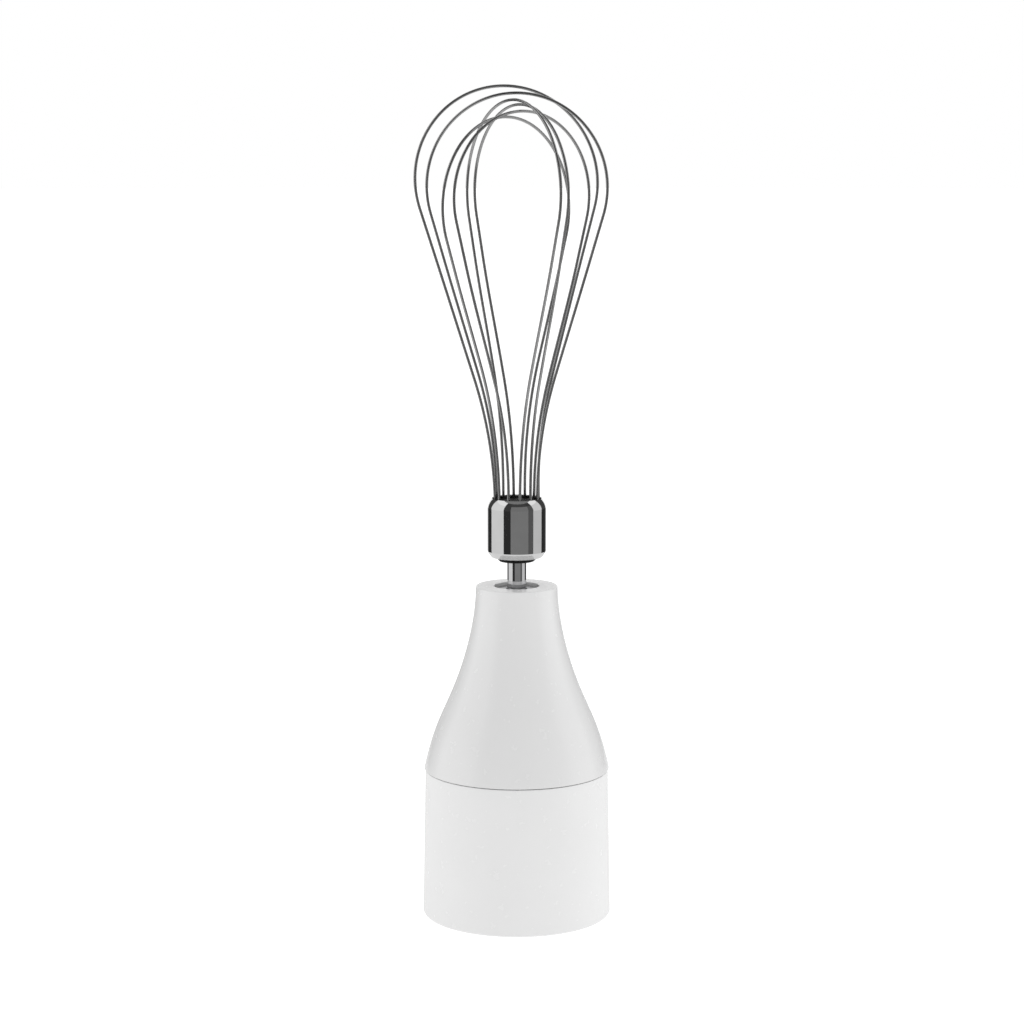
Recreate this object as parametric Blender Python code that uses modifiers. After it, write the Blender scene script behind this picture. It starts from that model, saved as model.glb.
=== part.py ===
"""Whisk attachment of a hand blender: coupling collar, planetary gearbox, cover, shaft and six wire loops.

The attachment stands on its collar rim at z = 0 with its spin axis on +Z. Sizes are in millimetres and
are turned into metres where a shape is made.
"""

import math

import bmesh
import bpy
import numpy as np
from mathutils import Vector

MM = 0.001
NAME = "whisk_attachment"

# Overall sizes.
COLLAR_RADIUS = 27.5
COLLAR_HEIGHT = 42.9
COLLAR_DRAFT = 0.8
COVER_TOP = 97.15
SHAFT_RADIUS = 2.75
FERRULE_RADIUS = 8.45
NECK_TO_FERRULE = 8.45
FERRULE_LENGTH = 17.2
WIRE_RADIUS = 0.43

# Named clearances.
GAP = 0.3
AXIAL_GAP = 0.4
SEAM_GAP = 0.45
BACKLASH = 0.16

# Collar and its web, under the gearbox.
COLLAR_WALL = 2.5
WEB_THICKNESS = 4.0
LUG_DEPTH = 1.3
LUG_HEIGHT = 3.0
LUG_START = 5.0
LUG_SPAN = 34.0
LUG_COUNT = 3

# Cover.
COVER_WALL = 2.1
COVER_FOOT_RADIUS = COLLAR_RADIUS - COLLAR_DRAFT + 0.3
NECK_RADIUS = 11.87
NECK_FILLET = 0.45
NECK_THICKNESS = 2.6
NECK_HOLE_RADIUS = 6.46
COVER_RIM_HEIGHT = 4.6

# Gearbox stack, from the seam down.
LID_RECESS = 0.5
LID_THICKNESS = 3.0
LID_RIM_HEIGHT = 4.2
LID_TUBE_HEIGHT = 19.6
LID_TUBE_WALL = 1.6
WASHER_THICKNESS = 0.6
CARRIER_THICKNESS = 3.0
GEAR_WIDTH = 7.0
BASE_THICKNESS = 2.8

# Gears.
SUN_TEETH = 12
PLANET_TEETH = 18
PLANET_COUNT = 3
RING_TEETH = SUN_TEETH + 2 * PLANET_TEETH
PRESSURE_ANGLE = math.radians(25)
ADDENDUM = 0.9
DEDENDUM = 1.2

# Shafts, pins and screws.
INPUT_SHAFT_RADIUS = 2.5
SHAFT_FLAT = 0.5
PIN_RADIUS = 1.9
SCREW_RADIUS = 1.05
SCREW_HEAD_RADIUS = 2.2
SCREW_HEAD_HEIGHT = 1.8
SCREW_BITE = 4.2
SCREW_ANGLE = 30.0
SPINDLE_WALL = 1.95
BUSH_WALL = 1.5
BUSH_LENGTH = 9.0
HEX_SOCKET_LENGTH = 8.0
SPINDLE_FLOOR = 5.6
COUPLER_RADIUS = 7.0
COUPLER_SHARE = 0.58
CLIP_THICKNESS = 0.8
CLIP_OPENING = 70.0

# Neck bush and seal.
BUSH_RECESS = 0.85
BUSH_FLANGE_RADIUS = 8.7
BUSH_DEPTH = 9.0
SEAL_RADIUS = 5.6

# Ferrule and plug.
FERRULE_MOUTH_WALL = 1.35
FERRULE_CHAMFER = 1.75
FERRULE_CHAMFER_WIDTH = 1.2
FERRULE_LIP_WIDTH = 2.55
FERRULE_SHOULDER = 2.5
FERRULE_SEAT = 2.2
PLUG_TIP = 1.2
PLUG_INSET = 0.9
SHAFT_GRIP = 11.0
WIRE_GRIP = 12.6
HOLE_PHASE = 8.0

# Wire loops.
BEND_RADIUS = 124.0
TWIST_END = 0.6
# Each loop: left and right plug groove, azimuth of its plane, height above the ferrule, radius of its top
# arc, and lean of its top in x and y.
LOOPS = (
    (6, 0, 14.0, 117.5, 26.7, -3.6, 1.0),
    (5, 11, -13.8, 115.5, 26.4, -0.2, -0.1),
    (4, 9, -59.4, 113.6, 26.1, 0.4, -0.5),
    (3, 10, -58.0, 112.3, 25.0, -0.7, -0.1),
    (8, 1, 37.5, 110.4, 24.2, 0.5, -0.6),
    (7, 2, 46.0, 108.8, 25.8, -1.8, -0.5),
)

# Mesh fineness.
FINE = 40
MEDIUM = 24
COARSE = 16

# Levels and radii that follow from the sizes above.
LID_TOP = COLLAR_HEIGHT - LID_RECESS
LID_BOTTOM = LID_TOP - LID_THICKNESS
LID_RIM_TOP = COLLAR_HEIGHT + LID_RIM_HEIGHT
CARRIER_TOP = LID_BOTTOM - 2 * AXIAL_GAP - WASHER_THICKNESS
CARRIER_BOTTOM = CARRIER_TOP - CARRIER_THICKNESS
GEAR_TOP = CARRIER_BOTTOM - AXIAL_GAP
GEAR_BOTTOM = GEAR_TOP - GEAR_WIDTH
BASE_TOP = GEAR_BOTTOM - AXIAL_GAP
BASE_BOTTOM = BASE_TOP - BASE_THICKNESS
WEB_TOP = BASE_BOTTOM - AXIAL_GAP
WEB_BOTTOM = WEB_TOP - WEB_THICKNESS
CAVITY_RADIUS = COLLAR_RADIUS - COLLAR_WALL
CASE_RADIUS = COLLAR_RADIUS - COLLAR_DRAFT - 0.75 * COLLAR_WALL
STACK_RADIUS = CASE_RADIUS - GAP
SCREW_HOLE_RADIUS = SCREW_RADIUS + GAP
SCREW_BAND = 2 * SCREW_HOLE_RADIUS + 1.75
SCREW_CIRCLE = STACK_RADIUS - SCREW_BAND / 2
MODULE = (STACK_RADIUS - SCREW_BAND) / (RING_TEETH / 2 + DEDENDUM)
CARRIER_CIRCLE = MODULE * (SUN_TEETH + PLANET_TEETH) / 2
SPINDLE_BORE = SHAFT_RADIUS + GAP
SPINDLE_RADIUS = SPINDLE_BORE + SPINDLE_WALL
INPUT_BORE = INPUT_SHAFT_RADIUS + GAP
INPUT_BUSH_RADIUS = INPUT_BORE + BUSH_WALL
NOSE_RADIUS = INPUT_BUSH_RADIUS + GAP + BUSH_WALL
BUSH_BOTTOM = COVER_TOP - BUSH_DEPTH
SPINDLE_TOP = BUSH_BOTTOM - AXIAL_GAP
SHAFT_BOTTOM = CARRIER_TOP + SPINDLE_FLOOR + AXIAL_GAP
FERRULE_BOTTOM = COVER_TOP + NECK_TO_FERRULE
FERRULE_TOP = FERRULE_BOTTOM + FERRULE_LENGTH
MOUTH_RADIUS = FERRULE_RADIUS - FERRULE_MOUTH_WALL
PLUG_RADIUS = MOUTH_RADIUS - GAP
HOLE_CIRCLE_RADIUS = PLUG_RADIUS - WIRE_RADIUS


def material(name, colour, roughness, metallic):
    """A plain Principled material."""
    made = bpy.data.materials.new(name)
    made.use_nodes = True
    shader = made.node_tree.nodes["Principled BSDF"]
    shader.inputs["Base Color"].default_value = (*colour, 1.0)
    shader.inputs["Roughness"].default_value = roughness
    shader.inputs["Metallic"].default_value = metallic
    made.diffuse_color = (*colour, 1.0)
    return made


def collections():
    """The object's own collection, and a hidden one for the cutters."""
    parts = bpy.data.collections.new(NAME)
    cutters = bpy.data.collections.new("cutters")
    cutters.hide_render = True
    for made in (parts, cutters):
        bpy.context.scene.collection.children.link(made)
    return parts, cutters


def place(obj, collection, look=None):
    """Puts an object into a collection, with its material."""
    collection.objects.link(obj)
    if look is not None:
        obj.data.materials.append(look)
    return obj


def hide_cutter(obj):
    """Marks an object as a cutter."""
    obj.hide_render = True
    obj.display_type = "WIRE"
    return obj


def turned_mesh(name, profile, steps):
    """A closed profile of (radius, height) pairs, down the outer side first, turned about the Z axis."""
    mesh = bpy.data.meshes.new(name)
    corners = [(r * MM, 0.0, z * MM) for r, z in profile]
    on_axis = profile[0][0] == 0 and profile[-1][0] == 0
    count = len(corners)
    edges = [(i, (i + 1) % count) for i in range(count - 1 if on_axis else count)]
    mesh.from_pydata(corners, edges, [])
    obj = bpy.data.objects.new(name, mesh)
    turn = obj.modifiers.new("turn", "SCREW")
    turn.axis = "Z"
    turn.angle = math.tau
    turn.steps = steps
    turn.render_steps = steps
    turn.use_merge_vertices = True
    turn.merge_threshold = 0.00001
    turn.use_normal_calculate = False
    turn.use_smooth_shade = True
    return obj


def turned(name, profile, look, steps=MEDIUM):
    """A turned piece."""
    return place(turned_mesh(name, profile, steps), PARTS, look)


def flat(name, outlines, bottom, top, look, centre=(0.0, 0.0)):
    """A flat piece of even thickness from its outer outline and the outlines of its holes."""
    curve = bpy.data.curves.new(name, "CURVE")
    curve.dimensions = "2D"
    curve.fill_mode = "BOTH"
    curve.extrude = (top - bottom) / 2 * MM
    for outline in outlines:
        spline = curve.splines.new("POLY")
        spline.points.add(len(outline) - 1)
        for point, (x, y) in zip(spline.points, outline):
            point.co = (x * MM, y * MM, 0.0, 1.0)
        spline.use_cyclic_u = True
    obj = bpy.data.objects.new(name, curve)
    obj.location = (centre[0] * MM, centre[1] * MM, (bottom + top) / 2 * MM)
    return place(obj, PARTS, look)


def prism(name, outline, bottom, top, centre=(0.0, 0.0)):
    """A cutter or a joined block: an outline raised from bottom to top."""
    mesh = bpy.data.meshes.new(name)
    build = bmesh.new()
    low = [build.verts.new((x * MM, y * MM, bottom * MM)) for x, y in outline]
    face = build.faces.new(low)
    raised = bmesh.ops.extrude_face_region(build, geom=[face])
    moved = [item for item in raised["geom"] if isinstance(item, bmesh.types.BMVert)]
    bmesh.ops.translate(build, verts=moved, vec=Vector((0.0, 0.0, (top - bottom) * MM)))
    bmesh.ops.recalc_face_normals(build, faces=build.faces)
    build.to_mesh(mesh)
    build.free()
    obj = bpy.data.objects.new(name, mesh)
    obj.location = (centre[0] * MM, centre[1] * MM, 0.0)
    return hide_cutter(place(obj, CUTTERS))


def boolean(obj, other, operation="DIFFERENCE"):
    """Cuts another shape from an object, or joins it on."""
    step = obj.modifiers.new(other.name, "BOOLEAN")
    step.operation = operation
    step.solver = "EXACT"
    step.object = other
    return obj


def polar(radius, degrees):
    """The point at this radius and angle."""
    angle = math.radians(degrees)
    return radius * math.cos(angle), radius * math.sin(angle)


def ring_points(radius, count, phase=0.0):
    """Points evenly spaced round a circle."""
    return [polar(radius, phase + 360.0 * i / count) for i in range(count)]


def moved(outline, centre):
    """An outline shifted to a centre."""
    return [(x + centre[0], y + centre[1]) for x, y in outline]


def arc_points(radius, start, end, count):
    """Points along an arc, in degrees."""
    return [polar(radius, start + (end - start) * i / (count - 1)) for i in range(count)]


def d_outline(radius, cut, count):
    """A round outline with a flat that stands `cut` inside its radius."""
    half = math.degrees(math.acos((radius - cut) / radius))
    return arc_points(radius, half, 360.0 - half, count)


def c_outline(inner, outer, opening, count):
    """A ring with an opening, for a spring clip."""
    start = opening / 2
    outside = arc_points(outer, start, 360.0 - start, count)
    inside = arc_points(inner, 360.0 - start, start, count)
    return outside + inside


def involute(angle):
    """The involute function."""
    return math.tan(angle) - angle


def tooth_outline(teeth, phase, grow, tip_height, root_depth):
    """Outline of an involute gear; `grow` is the half thickness added to each tooth at the pitch circle."""
    pitch = MODULE * teeth / 2
    base = pitch * math.cos(PRESSURE_ANGLE)
    tip = pitch + tip_height * MODULE
    root = pitch - root_depth * MODULE
    start = max(base, root) * 1.002
    half = math.pi / (2 * teeth) + grow / pitch + involute(PRESSURE_ANGLE)
    flank = []
    for radius in (start, (start + tip) / 2, tip):
        flank.append((radius, half - involute(math.acos(base / radius))))
    if root < start:
        flank.insert(0, (root, flank[0][1]))
    outline = []
    for tooth in range(teeth):
        middle = math.radians(phase) + math.tau * tooth / teeth
        sides = [(r, middle - a) for r, a in flank] + [(r, middle + a) for r, a in reversed(flank)]
        outline += [(r * math.cos(a), r * math.sin(a)) for r, a in sides]
    return outline


def gear_outline(teeth, phase):
    """An external gear, thinned by the backlash."""
    return tooth_outline(teeth, phase, -BACKLASH / 2, ADDENDUM, DEDENDUM)


def ring_gear_outline(teeth):
    """The toothed opening of an internal gear, with a tooth pointing inwards at angle zero."""
    return tooth_outline(teeth, 180.0 / teeth, BACKLASH / 2, DEDENDUM, ADDENDUM)


def cover_curve(count):
    """The outside of the cover as (radius, height), from the neck down to the foot."""
    foot = COLLAR_HEIGHT + SEAM_GAP
    height = COVER_TOP - foot
    spread = COVER_FOOT_RADIUS - NECK_RADIUS
    controls = (
        (NECK_RADIUS, COVER_TOP),
        (NECK_RADIUS - 0.015 * spread, foot + 0.716 * height),
        (NECK_RADIUS + 0.520 * spread, foot + 0.297 * height),
        (NECK_RADIUS + 0.700 * spread, foot + 0.372 * height),
        (COVER_FOOT_RADIUS, foot),
    )
    order = len(controls) - 1
    points = []
    for t in np.linspace(0.0, 1.0, count):
        weights = [math.comb(order, k) * (1 - t) ** (order - k) * t**k for k in range(order + 1)]
        radius = sum(w * c[0] for w, c in zip(weights, controls))
        level = sum(w * c[1] for w, c in zip(weights, controls))
        points.append((float(radius), float(level)))
    return points


def offset_curve(points, distance):
    """A curve of (radius, height) moved inwards by a distance."""
    line = np.array(points)
    along = np.gradient(line, axis=0)
    along /= np.linalg.norm(along, axis=1)[:, None]
    inward = np.stack([along[:, 1], -along[:, 0]], axis=1)
    return [(float(r), float(z)) for r, z in line + distance * inward]


def build_collar():
    """The lower ring with its web, bayonet lugs and screw holes."""
    draft = COLLAR_DRAFT
    profile = [
        (COLLAR_RADIUS - draft - 0.4, COLLAR_HEIGHT),
        (COLLAR_RADIUS - draft, COLLAR_HEIGHT - 0.4),
        (COLLAR_RADIUS, 0.5),
        (COLLAR_RADIUS - 0.12, 0.15),
        (COLLAR_RADIUS - 0.4, 0.0),
        (CAVITY_RADIUS + 0.3, 0.0),
        (CAVITY_RADIUS, 0.3),
        (CAVITY_RADIUS, WEB_BOTTOM),
        (NOSE_RADIUS + GAP, WEB_BOTTOM),
        (NOSE_RADIUS + GAP, WEB_TOP),
        (CASE_RADIUS, WEB_TOP),
        (CASE_RADIUS, COLLAR_HEIGHT),
    ]
    collar = turned("coupling_collar", profile, WHITE, FINE)
    reach = CAVITY_RADIUS + COLLAR_WALL / 2
    for i in range(LUG_COUNT):
        start = 360.0 / LUG_COUNT * i - LUG_SPAN / 2 + 90.0
        inside = arc_points(CAVITY_RADIUS - LUG_DEPTH, start, start + LUG_SPAN, 5)
        outside = arc_points(reach, start + LUG_SPAN, start, 5)
        lug = prism(f"lug_{i + 1}", inside + outside, LUG_START, LUG_START + LUG_HEIGHT)
        boolean(collar, lug, "UNION")
    for i, centre in enumerate(screw_centres()):
        hole = ring_points(SCREW_HOLE_RADIUS, 12)
        sink = ring_points(SCREW_HEAD_RADIUS + GAP, 16)
        seat = WEB_BOTTOM + SCREW_HEAD_HEIGHT + AXIAL_GAP
        boolean(collar, prism(f"collar_hole_{i + 1}", hole, WEB_BOTTOM - 1, WEB_TOP + 1, centre))
        boolean(collar, prism(f"collar_sink_{i + 1}", sink, WEB_BOTTOM - 1, seat, centre))


def screw_centres():
    """The three screw positions."""
    return ring_points(SCREW_CIRCLE, 3, SCREW_ANGLE)


def build_cover():
    """The bottle-shaped cover."""
    outside = cover_curve(14)[1:]
    inside = offset_curve(cover_curve(10), COVER_WALL)
    foot = COLLAR_HEIGHT + SEAM_GAP
    rim_radius = STACK_RADIUS - 0.1
    shelf = foot + COVER_RIM_HEIGHT
    bore = NECK_RADIUS - COVER_WALL - 0.3
    hollow = [(r, z) for r, z in reversed(inside) if z > shelf + 1.5 and z < COVER_TOP - 8.0]
    profile = [
        (NECK_HOLE_RADIUS + 0.25, COVER_TOP),
        (NECK_RADIUS - NECK_FILLET, COVER_TOP),
        (NECK_RADIUS - 0.3 * NECK_FILLET, COVER_TOP - 0.3 * NECK_FILLET),
        (NECK_RADIUS, COVER_TOP - NECK_FILLET),
        *outside[:-1],
        (COVER_FOOT_RADIUS, foot + 0.35),
        (COVER_FOOT_RADIUS - 0.35, foot),
        (rim_radius, foot),
        (rim_radius, shelf),
        *hollow,
        (bore, COVER_TOP - NECK_THICKNESS),
        (NECK_HOLE_RADIUS, COVER_TOP - NECK_THICKNESS),
        (NECK_HOLE_RADIUS, COVER_TOP - 0.25),
    ]
    turned("cone_cover", profile, WHITE, FINE)


def build_neck():
    """The metal bush sunk in the neck, and the lip seal under it."""
    top = COVER_TOP - BUSH_RECESS
    shoulder = COVER_TOP - NECK_THICKNESS - GAP
    neck = NECK_HOLE_RADIUS - GAP
    bore = SHAFT_RADIUS + GAP
    seat = BUSH_BOTTOM + 4.8
    profile = [
        (neck - 0.25, top),
        (neck, top - 0.25),
        (neck, shoulder),
        (BUSH_FLANGE_RADIUS, shoulder),
        (BUSH_FLANGE_RADIUS, BUSH_BOTTOM),
        (SEAL_RADIUS + GAP, BUSH_BOTTOM),
        (SEAL_RADIUS + GAP, seat),
        (bore, seat),
        (bore, top - 0.5),
        (bore + 0.5, top),
    ]
    turned("neck_bush", profile, STEEL, MEDIUM)
    seal = [
        (SEAL_RADIUS, seat - GAP),
        (SEAL_RADIUS, BUSH_BOTTOM + 0.2),
        (SEAL_RADIUS - 1.0, BUSH_BOTTOM + 0.2),
        (SEAL_RADIUS - 1.0, seat - 1.6),
        (bore + 0.8, seat - 1.9),
        (bore + 0.3, BUSH_BOTTOM + 1.0),
        (bore, BUSH_BOTTOM + 1.3),
        (bore, seat - GAP),
    ]
    turned("neck_seal", seal, RUBBER, MEDIUM)


def build_lid():
    """The upper gearbox plate with the tube that carries the spindle, and the bush in that tube."""
    rim = STACK_RADIUS - 0.1 - GAP
    rim_inside = SCREW_CIRCLE - SCREW_HOLE_RADIUS - 0.7
    tube_top = LID_TOP + LID_TUBE_HEIGHT
    bore = SPINDLE_RADIUS + GAP
    bush = bore + BUSH_WALL
    tube = bush + GAP + LID_TUBE_WALL
    seat = tube_top - BUSH_LENGTH - AXIAL_GAP
    profile = [
        (tube - 0.4, tube_top),
        (tube, tube_top - 0.4),
        (tube, LID_TOP + 1.2),
        (tube + 1.2, LID_TOP),
        (rim_inside, LID_TOP),
        (rim_inside, LID_RIM_TOP),
        (rim - 0.4, LID_RIM_TOP),
        (rim, LID_RIM_TOP - 0.4),
        (rim, LID_TOP),
        (STACK_RADIUS, LID_TOP - 0.4),
        (STACK_RADIUS, LID_BOTTOM),
        (bore, LID_BOTTOM),
        (bore, seat),
        (bush + GAP, seat),
        (bush + GAP, tube_top),
    ]
    lid = turned("gearbox_lid", profile, GREY, MEDIUM + 4)
    hole = ring_points(SCREW_HOLE_RADIUS, 12)
    depth = LID_BOTTOM + SCREW_BITE + AXIAL_GAP
    for i, centre in enumerate(screw_centres()):
        boolean(lid, prism(f"lid_hole_{i + 1}", hole, LID_BOTTOM - 1, depth, centre))
    sleeve = [
        (bush - 0.3, tube_top - 0.2),
        (bush, tube_top - 0.5),
        (bush, seat + GAP),
        (bore, seat + GAP),
        (bore, tube_top - 0.2),
    ]
    turned("spindle_bush", sleeve, BRONZE, MEDIUM)


def build_ring_gear():
    """The fixed internal gear, clamped between the two plates."""
    holes = [moved(ring_points(SCREW_HOLE_RADIUS, 12), centre) for centre in screw_centres()]
    outlines = [ring_points(STACK_RADIUS, FINE), ring_gear_outline(RING_TEETH), *holes]
    flat("ring_gear", outlines, BASE_TOP + GAP, LID_BOTTOM - GAP, GREY)


def build_base():
    """The lower gearbox plate with its nose, and the bush in it."""
    nose_bottom = WEB_BOTTOM + GAP
    bore = INPUT_BUSH_RADIUS + GAP
    profile = [
        (STACK_RADIUS, BASE_TOP),
        (STACK_RADIUS, BASE_BOTTOM),
        (NOSE_RADIUS, BASE_BOTTOM),
        (NOSE_RADIUS, nose_bottom + 0.4),
        (NOSE_RADIUS - 0.4, nose_bottom),
        (INPUT_BORE, nose_bottom),
        (INPUT_BORE, nose_bottom + 0.8),
        (bore, nose_bottom + 0.8),
        (bore, BASE_TOP),
    ]
    base = turned("gearbox_base", profile, GREY, MEDIUM + 4)
    hole = ring_points(SCREW_HOLE_RADIUS, 12)
    for i, centre in enumerate(screw_centres()):
        boolean(base, prism(f"base_hole_{i + 1}", hole, BASE_BOTTOM - 1, BASE_TOP + 1, centre))
    bush = [
        (INPUT_BUSH_RADIUS, BASE_TOP),
        (INPUT_BUSH_RADIUS, nose_bottom + 0.8 + GAP),
        (INPUT_BORE, nose_bottom + 0.8 + GAP),
        (INPUT_BORE, BASE_TOP),
    ]
    turned("input_bush", bush, BRONZE, MEDIUM)


def build_screws():
    """The three screws that clamp the gearbox to the collar web."""
    head = WEB_BOTTOM + GAP
    neck = head + SCREW_HEAD_HEIGHT
    tip = LID_BOTTOM + SCREW_BITE
    profile = [
        (0, tip),
        (0.5 * SCREW_RADIUS, tip),
        (SCREW_RADIUS, tip - 1.0),
        (SCREW_RADIUS, neck),
        (SCREW_HEAD_RADIUS, neck),
        (SCREW_HEAD_RADIUS, head + 0.6),
        (SCREW_HEAD_RADIUS - 0.7, head),
        (0, head),
    ]
    arm = 0.62 * SCREW_HEAD_RADIUS
    half = 0.16 * SCREW_HEAD_RADIUS
    cross = [
        (arm, -half), (arm, half), (half, half), (half, arm), (-half, arm), (-half, half),
        (-arm, half), (-arm, -half), (-half, -half), (-half, -arm), (half, -arm), (half, -half),
    ]
    for i, (x, y) in enumerate(screw_centres()):
        screw = turned(f"case_screw_{i + 1}", profile, STEEL, 14)
        screw.location = (x * MM, y * MM, 0.0)
        boolean(screw, prism(f"screw_slot_{i + 1}", cross, head - 1, head + 0.8, (x, y)))


def build_input():
    """The driven shaft with its sun gear, coupler and clip."""
    socket_bottom = WEB_BOTTOM - AXIAL_GAP - COUPLER_SHARE * WEB_BOTTOM
    coupler_top = WEB_BOTTOM - AXIAL_GAP
    web = coupler_top - 0.4 * (coupler_top - socket_bottom)
    clip_top = web - GAP
    clip_bottom = clip_top - CLIP_THICKNESS
    groove = INPUT_SHAFT_RADIUS - 0.75
    shaft_bottom = clip_bottom - 1.2
    shaft_top = GEAR_TOP - 0.3
    profile = [
        (0, shaft_top),
        (INPUT_SHAFT_RADIUS - 0.3, shaft_top),
        (INPUT_SHAFT_RADIUS, shaft_top - 0.3),
        (INPUT_SHAFT_RADIUS, clip_top + GAP),
        (groove, clip_top + GAP),
        (groove, clip_bottom - GAP),
        (INPUT_SHAFT_RADIUS, clip_bottom - GAP),
        (INPUT_SHAFT_RADIUS - 0.4, shaft_bottom),
        (0, shaft_bottom),
    ]
    shaft = turned("input_shaft", profile, STEEL, COARSE + 4)
    side = 2 * INPUT_SHAFT_RADIUS
    face = INPUT_SHAFT_RADIUS - SHAFT_FLAT
    block = [(face, -side), (side, -side), (side, side), (face, side)]
    boolean(shaft, prism("shaft_flat", block, web - 0.2, shaft_top + 1))
    bore = d_outline(INPUT_BORE, SHAFT_FLAT, COARSE)
    flat("sun_gear", [gear_outline(SUN_TEETH, 0.0), bore], GEAR_BOTTOM, GEAR_TOP, STEEL)
    body = [
        (COUPLER_RADIUS - 1.2, coupler_top),
        (COUPLER_RADIUS - 0.6, coupler_top - 0.6),
        (COUPLER_RADIUS - 0.6, socket_bottom + 3.0),
        (COUPLER_RADIUS, socket_bottom + 2.4),
        (COUPLER_RADIUS, socket_bottom + 0.5),
        (COUPLER_RADIUS - 0.5, socket_bottom),
        (0, socket_bottom),
    ]
    coupler = turned("drive_coupler", [(0, coupler_top), *body], BLACK, MEDIUM)
    boolean(coupler, prism("coupler_bore", bore, web - 1, coupler_top + 1))
    lobes = []
    for i in range(24):
        reach = COUPLER_RADIUS - 1.6 if i % 4 in (0, 1) else COUPLER_RADIUS - 2.7
        lobes.append(polar(reach, 15.0 * i))
    boolean(coupler, prism("coupler_socket", lobes, socket_bottom - 1, web))
    ring = c_outline(groove + GAP, groove + 2.1, CLIP_OPENING, 12)
    flat("coupler_clip", [ring], clip_bottom, clip_top, STEEL)


def build_carrier():
    """The planet carrier with its pins and planets, and the thrust washer on it."""
    foot = ring_points(hex_foot() + 0.35, 6)
    centres = ring_points(CARRIER_CIRCLE, PLANET_COUNT)
    pin_hole = ring_points(PIN_RADIUS + GAP, COARSE)
    holes = [moved(pin_hole, centre) for centre in centres]
    rim = CARRIER_CIRCLE + PIN_RADIUS + 2.1
    disc = ring_points(rim, MEDIUM + 8)
    flat("planet_carrier", [disc, foot, *holes], CARRIER_BOTTOM, CARRIER_TOP, GREY)
    low = BASE_TOP + GAP
    pin = [
        (0, CARRIER_TOP),
        (PIN_RADIUS - 0.3, CARRIER_TOP),
        (PIN_RADIUS, CARRIER_TOP - 0.3),
        (PIN_RADIUS, low + 0.3),
        (PIN_RADIUS - 0.3, low),
        (0, low),
    ]
    for i, (x, y) in enumerate(centres):
        made = turned(f"planet_pin_{i + 1}", pin, STEEL, COARSE)
        made.location = (x * MM, y * MM, 0.0)
        phase = 360.0 / PLANET_COUNT * i + 180.0 + 180.0 / PLANET_TEETH
        outlines = [gear_outline(PLANET_TEETH, phase), pin_hole]
        flat(f"planet_gear_{i + 1}", outlines, GEAR_BOTTOM, GEAR_TOP, NYLON, (x, y))
    washer_bottom = CARRIER_TOP + AXIAL_GAP
    inner = ring_points(SPINDLE_RADIUS + 2 * GAP, COARSE + 4)
    outer = ring_points(SPINDLE_RADIUS + 4.5, MEDIUM)
    flat("thrust_washer", [outer, inner], washer_bottom, washer_bottom + WASHER_THICKNESS, STEEL)


def hex_foot():
    """Corner radius of the spindle's hexagonal foot."""
    return SPINDLE_RADIUS - 0.5


def clip_level():
    """Height of the spring clip that holds the shaft in the spindle."""
    return SHAFT_BOTTOM + 0.6 * (SPINDLE_TOP - SHAFT_BOTTOM)


def build_spindle():
    """The tube that the whisk shaft plugs into, with its spring clip."""
    neck = CARRIER_TOP + GAP
    low = clip_level() - CLIP_THICKNESS / 2 - GAP
    high = clip_level() + CLIP_THICKNESS / 2 + GAP
    hex_top = SHAFT_BOTTOM + HEX_SOCKET_LENGTH - AXIAL_GAP
    profile = [
        (0, hex_top),
        (SPINDLE_BORE, hex_top),
        (SPINDLE_BORE, low),
        (SPINDLE_BORE + 0.85, low),
        (SPINDLE_BORE + 0.85, high),
        (SPINDLE_BORE, high),
        (SPINDLE_BORE, SPINDLE_TOP - 0.5),
        (SPINDLE_BORE + 0.5, SPINDLE_TOP),
        (SPINDLE_RADIUS - 0.4, SPINDLE_TOP),
        (SPINDLE_RADIUS, SPINDLE_TOP - 0.4),
        (SPINDLE_RADIUS, neck),
        (0, neck),
    ]
    spindle = turned("output_spindle", profile, STEEL, COARSE + 4)
    foot = prism("spindle_foot", ring_points(hex_foot(), 6), CARRIER_BOTTOM, neck + 1.0)
    boolean(spindle, foot, "UNION")
    socket = ring_points(SHAFT_RADIUS + 0.35, 6)
    boolean(spindle, prism("spindle_socket", socket, SHAFT_BOTTOM - AXIAL_GAP, hex_top + 0.5))
    ring = c_outline(SPINDLE_BORE + 0.05, SPINDLE_BORE + 0.5, CLIP_OPENING, 14)
    bottom = clip_level() - CLIP_THICKNESS / 2
    flat("shaft_clip", [ring], bottom, bottom + CLIP_THICKNESS, STEEL)


def build_shaft():
    """The whisk shaft, with its hexagonal end and the groove for the clip."""
    groove = SHAFT_RADIUS - 0.4
    top = FERRULE_BOTTOM + SHAFT_GRIP
    low = clip_level() - 0.9
    high = clip_level() + 0.9
    hex_top = SHAFT_BOTTOM + HEX_SOCKET_LENGTH
    profile = [
        (0, top),
        (SHAFT_RADIUS - 0.4, top),
        (SHAFT_RADIUS, top - 0.4),
        (SHAFT_RADIUS, high),
        (groove, high - 0.4),
        (groove, low + 0.4),
        (SHAFT_RADIUS, low),
        (SHAFT_RADIUS, hex_top),
        (SHAFT_RADIUS * 0.8, hex_top),
        (SHAFT_RADIUS * 0.8, hex_top - 0.5),
        (0, hex_top - 0.5),
    ]
    shaft = turned("whisk_shaft", profile, STEEL, MEDIUM)
    key = prism("shaft_key", ring_points(SHAFT_RADIUS, 6), SHAFT_BOTTOM, hex_top - 0.2)
    boolean(shaft, key, "UNION")


def groove_angle(index):
    """Angle of one of the twelve plug grooves, in degrees."""
    return HOLE_PHASE + 30.0 * index


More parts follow.
